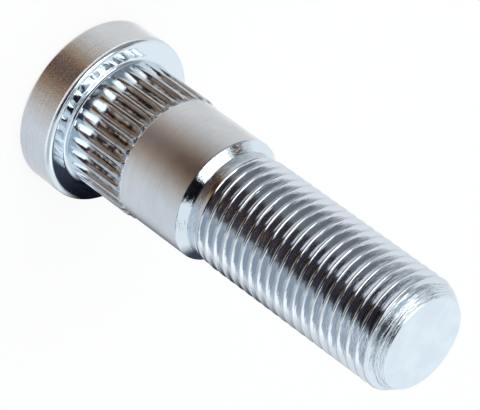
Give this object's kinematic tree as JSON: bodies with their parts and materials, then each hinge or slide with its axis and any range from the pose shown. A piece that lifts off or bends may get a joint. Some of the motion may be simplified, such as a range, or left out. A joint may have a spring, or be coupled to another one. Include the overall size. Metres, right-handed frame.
{
  "type": "wheel stud",
  "caption": "Headed steel wheel stud with a serrated press-in band, a smooth shank and a right-hand threaded end, bright zinc plated.",
  "frame": {"origin": "centre of the head's back face, on which the stud stands", "axes": "+Z along the stud's axis, from the head towards the threaded end; +X through the middle of one serration groove and the start of the thread"},
  "size_m": [0.019, 0.019, 0.0498],
  "materials": {
    "zinc_plate": "bright zinc plate on steel: satin on the turned faces, burnished on the rolled serrations and thread"
  },
  "bodies": {
    "root": {"wheel_stud": "zinc_plate"}
  },
  "joints": []
}
